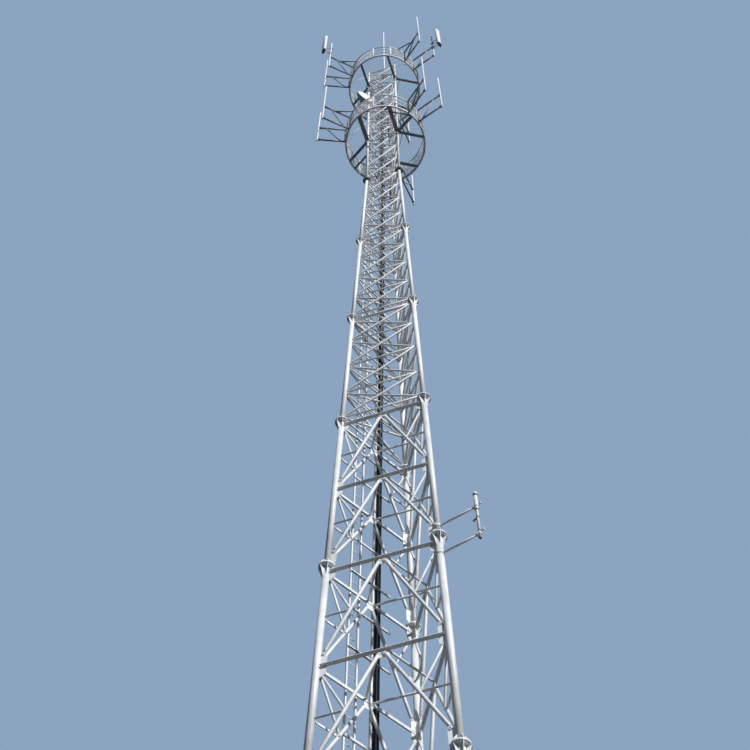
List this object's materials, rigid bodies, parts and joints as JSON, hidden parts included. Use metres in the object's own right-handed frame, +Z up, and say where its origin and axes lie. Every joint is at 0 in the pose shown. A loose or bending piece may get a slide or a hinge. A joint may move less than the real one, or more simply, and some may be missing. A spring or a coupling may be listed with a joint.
{
  "type": "tubular steel lattice tower, 1:2 scale model",
  "caption": "Three-legged tubular steel lattice tower on flanged legs, with two round antenna platforms, a ladder and a lightning rod; half-size scale model.",
  "frame": {"origin": "centre of the flat underside of leg a's base flange, at the tower's front left foot", "axes": "+Z up; +X from leg a to leg b along the front face; +Y to the rear, where leg c stands"},
  "size_m": [2.3685, 2.1026, 29.945],
  "materials": {
    "antenna_cover": "light grey weathered plastic",
    "black_cable": "black plastic jacket",
    "galvanised_steel": "hot-dip galvanised, matt"
  },
  "bodies": {
    "root": {"cable_rails": "galvanised_steel", "climbing_ladder": "galvanised_steel", "cross_beams": "galvanised_steel", "cross_bracing_6": "galvanised_steel", "cross_bracing_7": "galvanised_steel", "cross_bracing_8": "galvanised_steel", "cross_bracing_top": "galvanised_steel", "dish": "antenna_cover", "dish_mount": "galvanised_steel", "feeder_cables": "black_cable", "k_bracing_1": "galvanised_steel", "k_bracing_2": "galvanised_steel", "k_bracing_3": "galvanised_steel", "k_bracing_4": "galvanised_steel", "k_bracing_5": "galvanised_steel", "leg_section_1": "galvanised_steel", "leg_section_2": "galvanised_steel", "leg_section_3": "galvanised_steel", "leg_section_4": "galvanised_steel", "leg_section_5": "galvanised_steel", "leg_section_6": "galvanised_steel", "leg_section_7": "galvanised_steel", "leg_section_8": "galvanised_steel", "leg_section_top": "galvanised_steel", "lightning_rod": "galvanised_steel", "lower_antenna_arms": "galvanised_steel", "lower_antenna_poles": "galvanised_steel", "lower_deck_frame": "galvanised_steel", "lower_deck_mesh": "galvanised_steel", "lower_guard_rail": "galvanised_steel", "lower_stays": "galvanised_steel", "panel_antennas": "antenna_cover", "panel_brackets": "galvanised_steel", "plan_bracing": "galvanised_steel", "side_antenna": "antenna_cover", "side_antenna_arms": "galvanised_steel", "step_pegs": "galvanised_steel", "top_frame": "galvanised_steel", "upper_antenna_arms": "galvanised_steel", "upper_antenna_poles": "galvanised_steel", "upper_deck_frame": "galvanised_steel", "upper_deck_mesh": "galvanised_steel", "upper_guard_rail": "galvanised_steel", "upper_stays": "galvanised_steel"}
  },
  "joints": []
}
